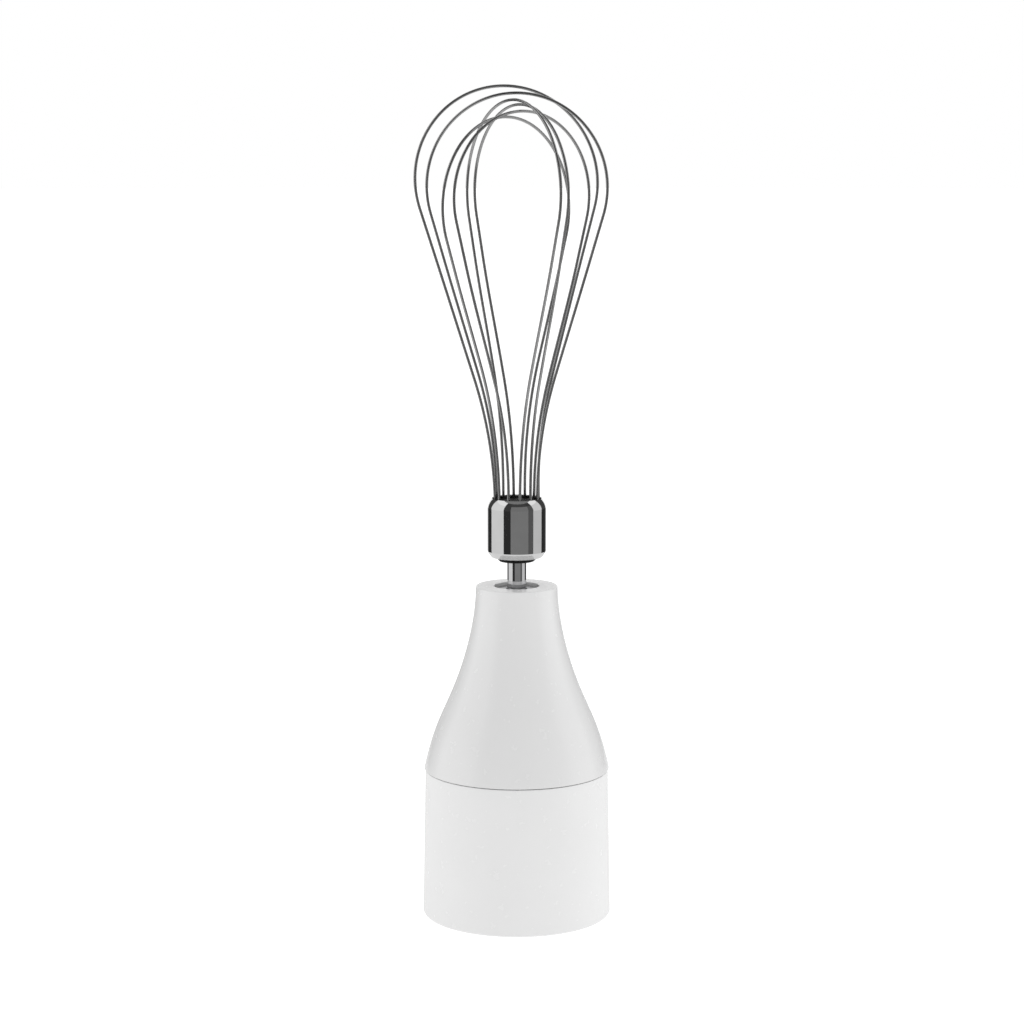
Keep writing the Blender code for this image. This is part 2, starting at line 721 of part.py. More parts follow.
def ferrule_shoulder(count):
    """The rolled shoulder of the sleeve as (radius, height), from its mouth out to its side."""
    start = np.array((MOUTH_RADIUS + 0.1, FERRULE_TOP))
    bend = np.array((FERRULE_RADIUS - 0.25, FERRULE_TOP - 0.48 * FERRULE_SHOULDER))
    end = np.array((FERRULE_RADIUS, FERRULE_TOP - FERRULE_SHOULDER))
    points = []
    for t in np.linspace(0.0, 1.0, count):
        radius, level = start * (1 - t) ** 2 + bend * 2 * t * (1 - t) + end * t**2
        points.append((float(radius), float(level)))
    return points


def build_ferrule():
    """The polished sleeve and the black plug that hold the wires."""
    lip = FERRULE_RADIUS - FERRULE_LIP_WIDTH
    chamfer = FERRULE_BOTTOM + FERRULE_CHAMFER
    seat = FERRULE_BOTTOM + FERRULE_SEAT
    profile = [
        *ferrule_shoulder(6),
        (FERRULE_RADIUS, chamfer + 0.4),
        (FERRULE_RADIUS - 0.12, chamfer - 0.2),
        (FERRULE_RADIUS - FERRULE_CHAMFER_WIDTH, FERRULE_BOTTOM),
        (lip, FERRULE_BOTTOM),
        (lip - 0.1, FERRULE_BOTTOM + 0.2),
        (lip - 0.1, seat),
        (MOUTH_RADIUS, seat),
        (MOUTH_RADIUS, FERRULE_TOP - 0.3),
    ]
    turned("ferrule", profile, CHROME, MEDIUM + 4)
    nose = lip - 0.1 - GAP
    bore = SHAFT_RADIUS + GAP
    top = FERRULE_TOP - PLUG_INSET
    body = [
        (0, top),
        (PLUG_RADIUS - 0.2, top),
        (PLUG_RADIUS, top - 0.2),
        (PLUG_RADIUS, seat + GAP),
        (nose, seat + GAP),
        (nose, FERRULE_BOTTOM - 0.65 * PLUG_TIP),
        (nose - 0.5, FERRULE_BOTTOM - PLUG_TIP),
        (bore, FERRULE_BOTTOM - PLUG_TIP),
        (bore, FERRULE_BOTTOM + SHAFT_GRIP + AXIAL_GAP),
        (0, FERRULE_BOTTOM + SHAFT_GRIP + AXIAL_GAP),
    ]
    plug = turned("wire_plug", body, BLACK, MEDIUM)
    slot = 1.75 * WIRE_RADIUS
    end = top - WIRE_GRIP - AXIAL_GAP
    reach = PLUG_RADIUS + 1.0 - HOLE_CIRCLE_RADIUS
    for index in range(2 * len(LOOPS)):
        outline = [(reach, slot), *arc_points(slot, 90.0, 270.0, 5), (reach, -slot)]
        groove = prism(f"plug_groove_{index + 1}", outline, end, top + 1)
        groove.location = Vector((*polar(HOLE_CIRCLE_RADIUS * MM, groove_angle(index)), 0.0))
        groove.rotation_euler[2] = math.radians(groove_angle(index))
        boolean(plug, groove)


def half_loop(rise, arc_radius, half_chord):
    """Half of a loop in its own plane, from its top down: a top arc, a straight leg and a long outward bend."""
    start = FERRULE_TOP
    centre = start + rise - arc_radius
    across = half_chord + BEND_RADIUS
    up = centre - start
    tilt = math.atan2(up, across) - math.acos((arc_radius + BEND_RADIUS) / math.hypot(across, up))
    top = []
    for t in np.linspace(0.0, math.pi / 2 + tilt, 11):
        top.append((arc_radius * math.sin(t), centre + arc_radius * math.cos(t)))
    low = []
    for t in np.linspace(tilt, 0.0, 6):
        low.append((across - BEND_RADIUS * math.cos(t), start + BEND_RADIUS * math.sin(t)))
    upper = top[-1]
    lower = low[0]
    middle = [(upper[0] * (1 - k) + lower[0] * k, upper[1] * (1 - k) + lower[1] * k) for k in (0.33, 0.67)]
    return top + middle + low


def smooth_step(t):
    """An even rise from 0 to 1."""
    t = min(1.0, max(0.0, t))
    return t * t * (3 - 2 * t)


def loop_path(left, right, azimuth, rise, arc_radius, lean_x, lean_y):
    """The centre line of one wire loop, from one plug groove over its top to the other."""
    first = Vector(polar(HOLE_CIRCLE_RADIUS, groove_angle(left)))
    second = Vector(polar(HOLE_CIRCLE_RADIUS, groove_angle(right)))
    chord = second - first
    middle = (first + second) / 2
    rest = math.atan2(chord.y, chord.x)
    half = half_loop(rise, arc_radius, chord.length / 2)
    outline = [(-s, z) for s, z in reversed(half)] + half[1:]
    path = []
    for s, z in outline:
        t = (z - FERRULE_TOP) / rise
        turn = rest + (math.radians(azimuth) - rest) * smooth_step(t / TWIST_END)
        x = middle.x + s * math.cos(turn) + lean_x * t
        y = middle.y + s * math.sin(turn) + lean_y * t
        path.append((x, y, z))
    low = FERRULE_TOP - PLUG_INSET - WIRE_GRIP
    path.insert(0, (first.x, first.y, low))
    path.append((second.x, second.y, low))
    return path


def build_wires():
    """The six wire loops."""
    for i, loop in enumerate(LOOPS):
        path = loop_path(*loop)
        curve = bpy.data.curves.new(f"whisk_wire_{i + 1}", "CURVE")
        curve.dimensions = "3D"
        curve.bevel_depth = WIRE_RADIUS * MM
        curve.bevel_resolution = 2
        curve.use_fill_caps = True
        spline = curve.splines.new("POLY")
        spline.points.add(len(path) - 1)
        for point, (x, y, z) in zip(spline.points, path):
            point.co = (x * MM, y * MM, z * MM, 1.0)
        spline.use_smooth = True
        place(bpy.data.objects.new(curve.name, curve), PARTS, WIRE)


for old in list(bpy.data.objects):
    bpy.data.objects.remove(old, do_unlink=True)

PARTS, CUTTERS = collections()

WHITE = material("white_gloss_plastic", (0.86, 0.86, 0.86), 0.28, 0.0)
GREY = material("grey_plastic", (0.32, 0.33, 0.34), 0.5, 0.0)
NYLON = material("natural_nylon", (0.78, 0.75, 0.66), 0.45, 0.0)
BLACK = material("black_plastic", (0.015, 0.015, 0.016), 0.4, 0.0)
RUBBER = material("black_rubber", (0.02, 0.02, 0.02), 0.75, 0.0)
STEEL = material("machined_steel", (0.55, 0.55, 0.56), 0.3, 1.0)
BRONZE = material("sintered_bronze", (0.45, 0.30, 0.14), 0.45, 1.0)
CHROME = material("polished_steel", (0.75, 0.75, 0.76), 0.1, 1.0)
WIRE = material("spring_steel_wire", (0.62, 0.62, 0.63), 0.18, 1.0)

build_collar()
build_cover()
build_neck()
build_lid()
build_ring_gear()
build_base()
build_screws()
build_input()
build_carrier()
build_spindle()
build_shaft()
build_ferrule()
build_wires()
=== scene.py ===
"""Looks of the whisk attachment: smooth shells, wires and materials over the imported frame, in a white studio.

Everything is in metres in the frame's own axes: +Z up, the spin axis on Z, the collar rim on z = 0.
"""

import math

import bmesh
import bpy
import numpy as np
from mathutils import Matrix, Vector


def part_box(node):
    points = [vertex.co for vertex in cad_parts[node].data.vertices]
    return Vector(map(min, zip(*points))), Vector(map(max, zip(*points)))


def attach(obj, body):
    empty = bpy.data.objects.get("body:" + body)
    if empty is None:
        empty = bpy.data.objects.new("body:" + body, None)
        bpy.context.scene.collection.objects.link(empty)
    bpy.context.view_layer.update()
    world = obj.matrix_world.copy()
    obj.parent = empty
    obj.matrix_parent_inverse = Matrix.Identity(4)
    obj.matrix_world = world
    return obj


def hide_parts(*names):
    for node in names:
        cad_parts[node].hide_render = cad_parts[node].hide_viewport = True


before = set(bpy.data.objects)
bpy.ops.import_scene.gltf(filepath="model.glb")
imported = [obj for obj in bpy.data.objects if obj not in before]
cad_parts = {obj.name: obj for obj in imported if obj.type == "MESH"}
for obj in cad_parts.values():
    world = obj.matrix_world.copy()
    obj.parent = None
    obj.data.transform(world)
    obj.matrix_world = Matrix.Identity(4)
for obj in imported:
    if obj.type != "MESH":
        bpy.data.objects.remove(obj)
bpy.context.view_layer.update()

MM = 0.001

# Mesh fineness of turned pieces and wires.
TURN_STEPS = 144
SMALL_STEPS = 64
FILLET_STEPS = 5
WIRE_SIDES = 12

# Sizes that the frame's boxes don't give directly.
GAP = 0.3 * MM
WEB_THICKNESS = 4 * MM
LUG_COUNT = 3
LUG_SPAN = 34.0
LUG_LEVELS = (5 * MM, 8 * MM)
LUG_REACH = 1.3 * MM
COVER_WALL = 2.1 * MM
COVER_SHELF = 4.6 * MM
NECK_FILLET = 0.45 * MM
NECK_THICKNESS = 2.6 * MM
SEAM_TRIM = 0.18 * MM
HEX_LENGTH = 8 * MM
CLIP_GROOVE = 0.4 * MM
FERRULE_SHOULDER = 2.5 * MM
FERRULE_CHAMFER = 1.75 * MM
FERRULE_SEAT = 2.2 * MM
WIRE_RADIUS = 0.43 * MM
WIRE_GRIP = 12.6 * MM
BEND_RADIUS = 124 * MM
TWIST_END = 0.6
HOLE_PHASE = 8.0
COUPLER_BORE = 2.8 * MM
COUPLER_LOBES = 6
SCREW_ANGLE = 30.0
SCREW_HEAD_RADIUS = 2.2 * MM
SCREW_HEAD_HEIGHT = 1.8 * MM
SCREW_SHANK_RADIUS = 1.05 * MM

# Each loop: left and right plug groove, azimuth of its plane, radius of its top arc in mm, and lean of its
# top in x and y in mm. The last four values of each row came from another program, a least-squares fit to
# the wires in the photo, and were rounded.
LOOPS = (
    (6, 0, 14.0, 26.7, -3.6, 1.0),
    (5, 11, -13.8, 26.4, -0.2, -0.1),
    (4, 9, -59.4, 26.1, 0.4, -0.5),
    (3, 10, -58.0, 25.0, -0.7, -0.1),
    (8, 1, 37.5, 24.2, 0.5, -0.6),
    (7, 2, 46.0, 25.8, -1.8, -0.5),
)

# Studio. The camera's place, pitch and lens came from another program, a least-squares fit to outlines in
# the photo.
CAMERA_DISTANCE = 748.5 * MM
CAMERA_HEIGHT = 229.2 * MM
CAMERA_SIDE = -1.38 * MM
CAMERA_PITCH = 8.4
CAMERA_LENS = 92.04
WALL_RADIUS = 520 * MM
WALL_LEVELS = (-300 * MM, 52 * MM, 500 * MM, 850 * MM)
GLEAM_RADIUS = 330 * MM


# ---------------------------------------------------------------- measuring the frame


def low(node):
    """Lowest level of a CAD node."""
    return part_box(node)[0].z


def high(node):
    """Highest level of a CAD node."""
    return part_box(node)[1].z


def radius(node):
    """Outer radius of a round CAD node that stands on the axis."""
    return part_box(node)[1].y


def radii(node, level, reach=0.05 * MM):
    """Smallest and largest radius among a CAD node's corners at one level."""
    corners = [v.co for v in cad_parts[node].data.vertices if abs(v.co.z - level) < reach]
    found = [math.hypot(c.x, c.y) for c in corners]
    return min(found), max(found)


# ---------------------------------------------------------------- shapes


def rounded(profile, steps=FILLET_STEPS):
    """A closed (radius, level, fillet) outline with its corners rounded, as (radius, level) points."""
    count = len(profile)
    points = []
    for i, (r, z, *fillet) in enumerate(profile):
        size = fillet[0] if fillet else 0.0
        if size <= 0.0:
            points.append((r, z))
            continue
        here = Vector((r, z))
        before = Vector(profile[i - 1][:2]) - here
        after = Vector(profile[(i + 1) % count][:2]) - here
        corner = before.angle(after)
        reach = size / math.tan(corner / 2)
        reach = min(reach, 0.49 * before.length, 0.49 * after.length)
        start = here + before.normalized() * reach
        end = here + after.normalized() * reach
        for k in range(steps + 1):
            t = k / steps
            point = start * (1 - t) ** 2 + here * 2 * t * (1 - t) + end * t**2
            points.append((point.x, point.y))
    return points


def turn(name, profile, steps=TURN_STEPS, centre=(0.0, 0.0)):
    """A closed profile turned about a vertical axis, with a UV map of metres round and along."""
    build = bmesh.new()
    uv = build.loops.layers.uv.new("surface")
    count = len(profile)
    along = [0.0]
    for i in range(count):
        here = Vector(profile[i])
        following = Vector(profile[(i + 1) % count])
        along.append(along[-1] + (following - here).length)
    rings = []
    for r, z in profile:
        if r < 1e-7:
            rings.append([build.verts.new((centre[0], centre[1], z))] * steps)
            continue
        ring = []
        for k in range(steps):
            angle = math.tau * k / steps
            x, y = centre[0] + r * math.cos(angle), centre[1] + r * math.sin(angle)
            ring.append(build.verts.new((x, y, z)))
        rings.append(ring)
    for i in range(count):
        j = (i + 1) % count
        if profile[i][0] < 1e-7 and profile[j][0] < 1e-7:
            continue
        reach = max(profile[i][0], profile[j][0])
        for k in range(steps):
            m = (k + 1) % steps
            corners = [
                (rings[i][k], k, along[i]),
                (rings[i][m], k + 1, along[i]),
                (rings[j][m], k + 1, along[i + 1]),
                (rings[j][k], k, along[i + 1]),
            ]
            if rings[i][k] is rings[i][m]:
                corners.pop(1)
            elif rings[j][k] is rings[j][m]:
                corners.pop(2)
            face = build.faces.new([c[0] for c in corners])
            for loop, corner in zip(face.loops, corners):
                loop[uv].uv = (math.tau * reach * corner[1] / steps, corner[2])
    bmesh.ops.recalc_face_normals(build, faces=build.faces)
    return finished(name, build)


def finished(name, build, sharp=32.0):
    """An object from a bmesh, smooth apart from its sharp edges."""
    mesh = bpy.data.meshes.new(name)
    build.to_mesh(mesh)
    build.free()
    obj = bpy.data.objects.new(name, mesh)
    bpy.context.scene.collection.objects.link(obj)
    shade(obj, sharp)
    return obj


def shade(obj, sharp=32.0):
    """Smooth shading, with edges over an angle kept sharp."""
    obj.data.polygons.foreach_set("use_smooth", [True] * len(obj.data.polygons))
    obj.data.set_sharp_from_angle(angle=math.radians(sharp))


def block(name, outline, bottom, top, centre=(0.0, 0.0)):
    """An outline raised from bottom to top."""
    build = bmesh.new()
    lower = [build.verts.new((x + centre[0], y + centre[1], bottom)) for x, y in outline]
    upper = [build.verts.new((x + centre[0], y + centre[1], top)) for x, y in outline]
    build.faces.new(list(reversed(lower)))
    build.faces.new(upper)
    count = len(outline)
    for i in range(count):
        j = (i + 1) % count
        build.faces.new((lower[i], lower[j], upper[j], upper[i]))
    bmesh.ops.recalc_face_normals(build, faces=build.faces)
    return finished(name, build)


def polar(distance, degrees):
    """The point at this radius and angle."""
    angle = math.radians(degrees)
    return distance * math.cos(angle), distance * math.sin(angle)


def circle(distance, count, phase=0.0):
    """Points evenly spaced round a circle."""
    return [polar(distance, phase + 360.0 * i / count) for i in range(count)]


def arc(distance, start, end, count):
    """Points along an arc, in degrees."""
    return [polar(distance, start + (end - start) * i / (count - 1)) for i in range(count)]


def carve(obj, tools, operation="DIFFERENCE"):
    """Cuts tools from an object, or joins them on, and clears the tools away."""
    for tool in tools:
        step = obj.modifiers.new(tool.name, "BOOLEAN")
        step.operation = operation
        step.solver = "EXACT"
        step.object = tool
    graph = bpy.context.evaluated_depsgraph_get()
    made = bpy.data.meshes.new_from_object(obj.evaluated_get(graph))
    obj.modifiers.clear()
    old = obj.data
    obj.data = made
    bpy.data.meshes.remove(old)
    for tool in tools:
        bpy.data.objects.remove(tool, do_unlink=True)
    shade(obj)
    return obj


def tube(name, path, size, sides=WIRE_SIDES):
    """A round wire along a path, with a UV map of metres along and round."""
    points = [Vector(p) for p in path]
    build = bmesh.new()
    uv = build.loops.layers.uv.new("surface")
    side = None
    rings = []
    lengths = [0.0]
    for i, point in enumerate(points):
        ahead = points[min(i + 1, len(points) - 1)]
        behind = points[max(i - 1, 0)]
        along = (ahead - behind).normalized()
        if side is None:
            side = along.orthogonal().normalized()
        side = (side - along * side.dot(along)).normalized()
        other = along.cross(side)
        ring = []
        for k in range(sides):
            angle = math.tau * k / sides
            ring.append(build.verts.new(point + size * (side * math.cos(angle) + other * math.sin(angle))))
        rings.append(ring)
        if i:
            lengths.append(lengths[-1] + (point - points[i - 1]).length)
    for i in range(len(rings) - 1):
        for k in range(sides):
            m = (k + 1) % sides
            face = build.faces.new((rings[i][k], rings[i][m], rings[i + 1][m], rings[i + 1][k]))
            spots = ((i, k), (i, k + 1), (i + 1, k + 1), (i + 1, k))
            for loop, (row, step) in zip(face.loops, spots):
                loop[uv].uv = (lengths[row], math.tau * size * step / sides)
    build.faces.new(list(reversed(rings[0])))
    build.faces.new(rings[-1])
    bmesh.ops.recalc_face_normals(build, faces=build.faces)
    return finished(name, build, 60.0)


# ---------------------------------------------------------------- materials


class Look:
    """A Principled material under construction."""

    def __init__(self, name, colour, roughness, metallic=0.0):
        self.material = bpy.data.materials.new(name)
        self.material.use_nodes = True
        self.tree = self.material.node_tree
        self.shader = self.tree.nodes["Principled BSDF"]
        self.shader.inputs["Base Color"].default_value = (*colour, 1.0)
        self.shader.inputs["Roughness"].default_value = roughness
        self.shader.inputs["Metallic"].default_value = metallic
        self.heights = []

    def link(self, source, target):
        """Joins two sockets."""
        self.tree.links.new(source, target)

    def place(self, stretch=(1.0, 1.0, 1.0), on_uv=False):
        """Coordinates in metres on the object, or on its surface map, stretched along each axis."""
        coordinates = self.tree.nodes.new("ShaderNodeTexCoord")
        mapping = self.tree.nodes.new("ShaderNodeMapping")
        mapping.inputs["Scale"].default_value = stretch
        self.link(coordinates.outputs["UV" if on_uv else "Object"], mapping.inputs["Vector"])
        return mapping.outputs["Vector"]

    def noise(self, grain, where, detail=3.0, harshness=0.55):
        """Noise with features about one grain wide."""
        texture = self.tree.nodes.new("ShaderNodeTexNoise")
        texture.inputs["Scale"].default_value = 1.0 / grain
        texture.inputs["Detail"].default_value = detail
        texture.inputs["Roughness"].default_value = harshness
        self.link(where, texture.inputs["Vector"])
        return texture.outputs["Fac"]

    def pores(self, grain, where):
        """Cell-like spots about one grain wide."""
        texture = self.tree.nodes.new("ShaderNodeTexVoronoi")
        texture.inputs["Scale"].default_value = 1.0 / grain
        self.link(where, texture.inputs["Vector"])
        return texture.outputs["Distance"]

    def tint(self, factor, first, second, start=0.3, end=0.7):
        """Colour that varies between two values."""
        ramp = self.tree.nodes.new("ShaderNodeValToRGB")
        ramp.color_ramp.elements[0].position = start
        ramp.color_ramp.elements[1].position = end
        ramp.color_ramp.elements[0].color = (*first, 1.0)
        ramp.color_ramp.elements[1].color = (*second, 1.0)
        self.link(factor, ramp.inputs["Fac"])
        self.link(ramp.outputs["Color"], self.shader.inputs["Base Color"])

    def gloss(self, factor, smooth, rough, start=0.3, end=0.7):
        """Roughness that varies between two values."""
        spread = self.tree.nodes.new("ShaderNodeMapRange")
        spread.inputs["From Min"].default_value = start
        spread.inputs["From Max"].default_value = end
        spread.inputs["To Min"].default_value = smooth
        spread.inputs["To Max"].default_value = rough
        self.link(factor, spread.inputs["Value"])
        self.link(spread.outputs["Result"], self.shader.inputs["Roughness"])

    def relief(self, factor, depth, strength=1.0):
        """Adds a bump of this depth, in metres."""
        bump = self.tree.nodes.new("ShaderNodeBump")
        bump.inputs["Distance"].default_value = depth
        bump.inputs["Strength"].default_value = strength
        self.link(factor, bump.inputs["Height"])
        if self.heights:
            self.link(self.heights[-1].outputs["Normal"], bump.inputs["Normal"])
        self.heights.append(bump)
        self.link(bump.outputs["Normal"], self.shader.inputs["Normal"])


def grey(value):
    """A neutral colour."""
    return (value, value, value)


def gloss_plastic(name, value):
    """White injection-moulded plastic with a faint orange peel."""
    look = Look(name, grey(value), 0.24)
    everywhere = look.place()
    look.tint(look.noise(18 * MM, everywhere), grey(0.99 * value), grey(1.01 * value))
    look.gloss(look.noise(2.5 * MM, everywhere), 0.22, 0.28)
    look.relief(look.noise(3.5 * MM, everywhere, 1.0), 0.003 * MM)
    look.relief(look.noise(0.5 * MM, everywhere, 2.0), 0.0005 * MM)
    return look.material


def matte_plastic(name, colour, rough, shine=0.5):
    """Moulded plastic with a fine spark-eroded grain."""
    look = Look(name, colour, rough)
    look.shader.inputs["Specular IOR Level"].default_value = shine
    everywhere = look.place()
    darker = tuple(0.86 * c for c in colour)
    look.tint(look.noise(6 * MM, everywhere), darker, colour)
    look.gloss(look.noise(1.2 * MM, everywhere), rough - 0.08, rough + 0.10)
    look.relief(look.noise(0.18 * MM, everywhere, 4.0, 0.7), 0.012 * MM)
    return look.material


def nylon():
    """Natural gear nylon, slightly waxy and uneven."""
    look = Look("natural_nylon", (0.70, 0.67, 0.58), 0.42)
    look.shader.inputs["Subsurface Weight"].default_value = 0.15
    look.shader.inputs["Subsurface Radius"].default_value = (0.0012, 0.0010, 0.0007)
    everywhere = look.place()
    look.tint(look.noise(3 * MM, everywhere), (0.66, 0.63, 0.53), (0.76, 0.73, 0.65))
    look.gloss(look.noise(0.8 * MM, everywhere), 0.34, 0.50)
    look.relief(look.noise(0.3 * MM, everywhere), 0.006 * MM)
    return look.material


def rubber():
    """Black seal rubber with a fine moulded grain."""
    look = Look("black_rubber", grey(0.022), 0.72)
    everywhere = look.place()
    look.tint(look.noise(2 * MM, everywhere), grey(0.016), grey(0.034))
    look.gloss(look.noise(0.6 * MM, everywhere), 0.62, 0.82)
    look.relief(look.pores(0.22 * MM, everywhere), 0.010 * MM)
    return look.material


def turned_steel(name, colour, smooth, rough, on_uv=False):
    """Steel with fine tool lines round it."""
    look = Look(name, colour, smooth, 1.0)
    if on_uv:
        lines = look.place((0.02, 1.0, 1.0), True)
    else:
        lines = look.place((0.06, 0.06, 1.0))
    everywhere = look.place()
    darker = tuple(0.88 * c for c in colour)
    look.tint(look.noise(5 * MM, everywhere), darker, colour)
    look.gloss(look.noise(0.12 * MM, lines, 4.0, 0.65), smooth, rough)
    look.relief(look.noise(0.09 * MM, lines, 3.0, 0.6), 0.0010 * MM)
    return look.material


def bronze():
    """Sintered bronze, full of small oil pores."""
    look = Look("sintered_bronze", (0.42, 0.27, 0.12), 0.45, 1.0)
    everywhere = look.place()
    look.tint(look.pores(0.16 * MM, everywhere), (0.20, 0.12, 0.05), (0.47, 0.31, 0.15), 0.05, 0.35)
    look.gloss(look.noise(0.5 * MM, everywhere), 0.38, 0.55)
    look.relief(look.pores(0.16 * MM, everywhere), 0.012 * MM)
    return look.material


def mirror_steel():
    """Polished steel with faint buffing lines and a few fine scratches."""
    look = Look("polished_steel", grey(0.74), 0.05, 1.0)
    buffed = look.place((0.015, 1.0, 1.0), True)
    across = look.place((1.0, 0.05, 1.0), True)
    everywhere = look.place()
    look.tint(look.noise(4 * MM, everywhere), grey(0.71), grey(0.75))
    look.gloss(look.noise(0.10 * MM, buffed, 5.0, 0.7), 0.035, 0.085, 0.35, 0.75)
    look.relief(look.noise(0.14 * MM, buffed, 3.0), 0.00025 * MM)
    look.relief(look.noise(0.5 * MM, across, 2.0), 0.00020 * MM)
    return look.material


def drawn_steel():
    """Spring wire, bright drawn, with fine lines along it."""
    look = Look("spring_steel_wire", grey(0.40), 0.15, 1.0)
    drawn = look.place((0.02, 1.0, 1.0), True)
    everywhere = look.place()
    look.tint(look.noise(7 * MM, everywhere), grey(0.36), grey(0.44))
    look.gloss(look.noise(0.08 * MM, drawn, 3.0), 0.11, 0.24)
    look.relief(look.noise(0.07 * MM, drawn, 3.0), 0.0008 * MM)
    return look.material


WHITE = gloss_plastic("white_gloss_plastic", 0.718)
# The collar's white is a lighter copy of the cover's white plastic: painted light, standing in for the floor's
# bounce that lights the collar more than the cone.
PAINTED_LIGHT_COLLAR_WHITE = gloss_plastic("white_collar_plastic_painted_light", 0.742)
GREY = matte_plastic("grey_plastic", (0.30, 0.31, 0.32), 0.48)
BLACK = matte_plastic("black_plastic", (0.016, 0.016, 0.017), 0.36)
PLUG = matte_plastic("dead_black_plastic", grey(0.008), 0.62, 0.15)
NYLON = nylon()
RUBBER = rubber()
BRONZE = bronze()
STEEL = turned_steel("machined_steel", (0.55, 0.55, 0.56), 0.20, 0.38)
ROD = turned_steel("ground_steel", (0.80, 0.80, 0.81), 0.02, 0.06, True)
DISC = turned_steel("turned_steel", (0.33, 0.33, 0.34), 0.14, 0.26, True)
MIRROR = mirror_steel()
WIRE = drawn_steel()


def dress(piece, look, slot, body, *nodes):
    """Gives a piece its material, its body and the CAD nodes that it stands for."""
    piece.data.materials.clear()
    piece.data.materials.append(look)
    even = piece.modifiers.new("even", "WEIGHTED_NORMAL")
    even.keep_sharp = True
    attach(piece, body)
    if nodes:
        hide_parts(*nodes)
    return piece


# ---------------------------------------------------------------- pieces


def screw_circle():
    """Distance of the screws from the axis."""
    lowest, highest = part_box("case_screw_1")
    middle = (lowest + highest) / 2
    return math.hypot(middle.x, middle.y)


def make_collar():
    """The collar: a drafted ring with its web, bayonet lugs and screw pockets."""
    rim = low("coupling_collar")
    top = high("coupling_collar")
    outer = radius("coupling_collar")
    head = radii("coupling_collar", top)[1] + 0.4 * MM
    bore = radii("coupling_collar", top)[0]
    web_bottom = low("case_screw_1") - GAP
    web_top = web_bottom + WEB_THICKNESS
    cavity = radii("coupling_collar", web_bottom)[1]
    nose = radii("coupling_collar", web_top)[0]
    profile = rounded([
        (head, top, 0.14 * MM),
        (outer, rim + 0.5 * MM, 0.3 * MM),
        (outer - 0.3 * MM, rim, 0.2 * MM),
        (cavity, rim, 0.5 * MM),
        (cavity, web_bottom, 1.2 * MM),
        (nose, web_bottom, 0.3 * MM),
        (nose, web_top, 0.3 * MM),
        (bore, web_top, 0.5 * MM),
        (bore, top, 0.3 * MM),
    ])
    collar = turn("collar_shell", profile)
    lugs = []
    for i in range(LUG_COUNT):
        start = 360.0 / LUG_COUNT * i - LUG_SPAN / 2 + 90.0
        inside = arc(cavity - LUG_REACH, start + 0.8, start + LUG_SPAN - 0.8, 13)
        outside = arc(cavity + 0.6 * MM, start + LUG_SPAN, start, 13)
        lug = block(f"lug_{i}", inside + outside, *LUG_LEVELS)
        soften = lug.modifiers.new("edge", "BEVEL")
        soften.width = 0.25 * MM
        soften.segments = 2
        soften.limit_method = "ANGLE"
        lugs.append(lug)
    carve(collar, lugs, "UNION")
    pockets = []
    for x, y in circle(screw_circle(), 3, SCREW_ANGLE):
        seat = web_bottom + SCREW_HEAD_HEIGHT + 0.4 * MM
        wide = circle(SCREW_HEAD_RADIUS + GAP, 32)
        slim = circle(SCREW_SHANK_RADIUS + GAP, 24)
        pockets.append(block("pocket", wide, web_bottom - MM, seat, (x, y)))
        pockets.append(block("hole", slim, web_bottom - MM, web_top + MM, (x, y)))
    carve(collar, pockets)
    # The collar takes the lighter copy of the white plastic, painted light for the floor's bounce.
    dress(collar, PAINTED_LIGHT_COLLAR_WHITE, "white_plastic", "housing", "coupling_collar")


def neck_radius():
    """Outer radius of the cover's neck."""
    return radii("cone_cover", high("cone_cover"))[1] + NECK_FILLET


def cover_line(count):
    """The outside of the cover as (radius, level), from the neck down to the foot."""
    foot, top = low("cone_cover"), high("cone_cover")
    wide, narrow = radius("cone_cover"), neck_radius()
    rise, spread = top - foot, wide - narrow
    # The shares of the three middle points came from another program, a least-squares fit to the photo's
    # outline, and were rounded.
    controls = (
        (narrow, top),
        (narrow - 0.015 * spread, foot + 0.716 * rise),
        (narrow + 0.520 * spread, foot + 0.297 * rise),
        (narrow + 0.700 * spread, foot + 0.372 * rise),
        (wide, foot),
    )
    order = len(controls) - 1
    points = []
    for t in np.linspace(0.0, 1.0, count):
        weights = [math.comb(order, k) * (1 - t) ** (order - k) * t**k for k in range(order + 1)]
        points.append((
            float(sum(w * c[0] for w, c in zip(weights, controls))),
            float(sum(w * c[1] for w, c in zip(weights, controls))),
        ))
    return points


def make_cover():
    """The bottle-shaped cover, hollow, with a softly rounded neck."""
    foot, top = low("cone_cover"), high("cone_cover")
    wide, narrow = radius("cone_cover"), neck_radius()
    hole = radii("cone_cover", top)[0] - 0.25 * MM
    inner_foot = radii("cone_cover", foot)[0]
    edge = foot - SEAM_TRIM
    outside = [p for p in cover_line(60) if foot + 0.4 * MM < p[1] < top - 0.7 * MM]
    line = np.array(cover_line(30))
    along = np.gradient(line, axis=0)
    along /= np.linalg.norm(along, axis=1)[:, None]
    inward = line + COVER_WALL * np.stack([along[:, 1], -along[:, 0]], axis=1)
    shelf = foot + COVER_SHELF
    hollow = [(float(r), float(z)) for r, z in inward[::-1] if shelf + 1.5 * MM < z < top - 8 * MM]
    profile = rounded([
        (hole + 0.02 * MM, top, 0.3 * MM),
        (narrow, top, NECK_FILLET),
        *outside,
        (wide, edge, 0.12 * MM),
        (inner_foot, edge, 0.1 * MM),
        (inner_foot, shelf),
        *hollow,
        (narrow - 2.4 * MM, top - NECK_THICKNESS),
        (hole, top - NECK_THICKNESS, 0.1 * MM),
    ])
    dress(turn("cover_shell", profile), WHITE, "white_plastic", "housing", "cone_cover")


